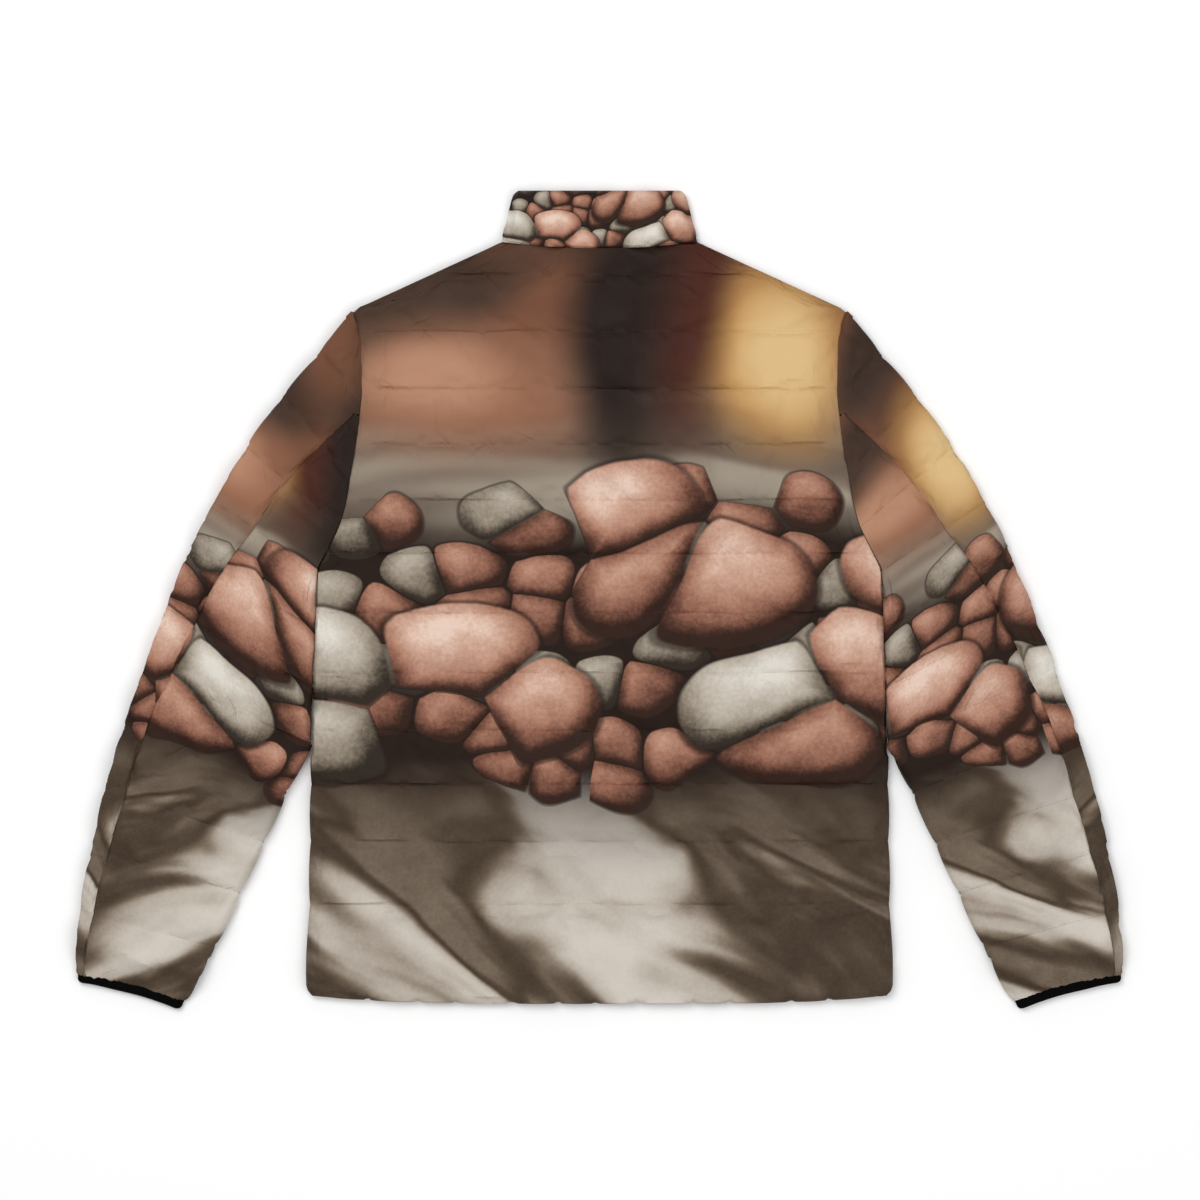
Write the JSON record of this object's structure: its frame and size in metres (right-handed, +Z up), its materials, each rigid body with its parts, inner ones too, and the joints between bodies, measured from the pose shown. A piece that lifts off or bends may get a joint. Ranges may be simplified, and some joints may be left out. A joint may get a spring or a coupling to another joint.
{
  "type": "puffer jacket",
  "caption": "Quilted puffer jacket with stand collar, front zip and elastic-bound cuffs, laid flat with its back up.",
  "frame": {"origin": "centre of the jacket's outline, on the surface it lies on", "axes": "+X across the jacket, sleeve to sleeve; +Y from the hem to the collar; +Z up, out of the back of the jacket"},
  "size_m": [0.9966, 0.7778, 0.0186],
  "materials": {
    "printed_shell": "matte polyester shell, all-over print",
    "elastic_binding": "matte knitted elastic",
    "zip_tape": "matte woven tape",
    "zip_metal": "black lacquer"
  },
  "bodies": {
    "root": {"back": "printed_shell", "front_left": "printed_shell", "front_right": "printed_shell", "collar": "printed_shell", "sleeve_left_upper": "printed_shell", "sleeve_left_under": "printed_shell", "sleeve_right_upper": "printed_shell", "sleeve_right_under": "printed_shell", "cuff_left": "elastic_binding", "cuff_right": "elastic_binding", "zip": "zip_tape", "zip_slider": "zip_metal"}
  },
  "joints": []
}
